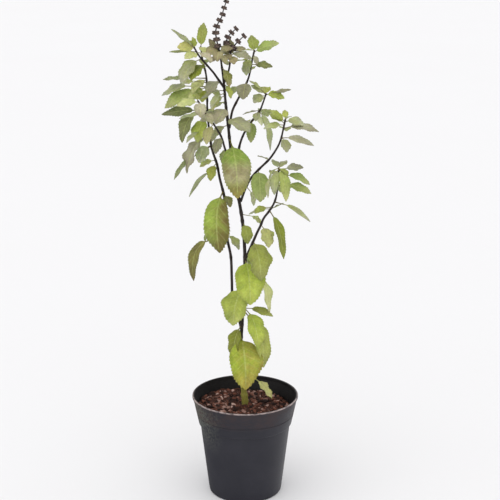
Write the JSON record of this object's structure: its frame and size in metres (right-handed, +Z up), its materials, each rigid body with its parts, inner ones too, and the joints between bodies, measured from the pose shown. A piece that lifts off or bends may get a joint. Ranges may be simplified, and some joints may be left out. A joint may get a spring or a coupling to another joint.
{
  "type": "potted camphor basil plant",
  "caption": "Tall, slender camphor basil with toothed leaves, dark branching stems and small flower spikes, rooted in the soil of a plain black nursery pot.",
  "frame": {"origin": "centre of the underside of the pot, where it rests", "axes": "+Z up along the pot's axis, +X to the plant's right seen from the front, -Y towards the front"},
  "size_m": [0.1817, 0.13, 0.6013],
  "materials": {
    "pot_plastic": "black moulded nursery plastic, satin, a little dusty and scuffed",
    "soil": "loose bark and fibre potting mix, reddish brown, matt and uneven",
    "leaf": "soft green leaf, yellowing low down and greyish mauve near the top, matt with fine veins",
    "stem": "dark purplish brown square stem, olive green at its foot",
    "flower": "dry purplish brown calyces, matt"
  },
  "bodies": {
    "root": {"pot": "pot_plastic", "soil": "soil", "main_stem": "leaf", "left_stem": "leaf", "right_branch": "leaf", "lower_right_branch": "leaf", "upper_right_branch": "leaf", "top_right_branch": "leaf", "front_branch": "leaf", "top_left_branch": "leaf", "crown_shoot": "leaf", "tall_flower_spike": "flower", "short_flower_spike": "flower", "right_flower_spike": "flower"}
  },
  "joints": []
}
